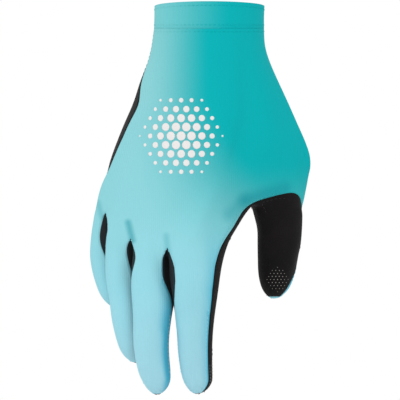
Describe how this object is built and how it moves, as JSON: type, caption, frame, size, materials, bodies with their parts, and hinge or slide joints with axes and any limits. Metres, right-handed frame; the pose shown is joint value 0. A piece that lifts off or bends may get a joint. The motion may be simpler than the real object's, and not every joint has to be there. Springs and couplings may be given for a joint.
{
  "type": "motocross glove",
  "caption": "Slip-on motocross glove for the right hand: teal knit back, black palm and thumb, black mesh between the fingers.",
  "frame": {"origin": "middle of the wrist opening", "axes": "+Z out of the wrist opening, fingers along -Z; the back of the hand faces -Y and the thumb points to +X"},
  "size_m": [0.1317, 0.0671, 0.2356],
  "materials": {
    "stretch_knit": "matte",
    "stretch_hem": "matte",
    "synthetic_suede": "matte",
    "mesh_cloth": "matte"
  },
  "bodies": {
    "root": {"back_panel": "stretch_knit", "hem_band": "stretch_hem", "palm_panel": "synthetic_suede", "thumb_front": "synthetic_suede", "fourchette_little_ring": "mesh_cloth", "fourchette_ring_middle": "mesh_cloth", "fourchette_middle_index": "mesh_cloth"}
  },
  "joints": []
}
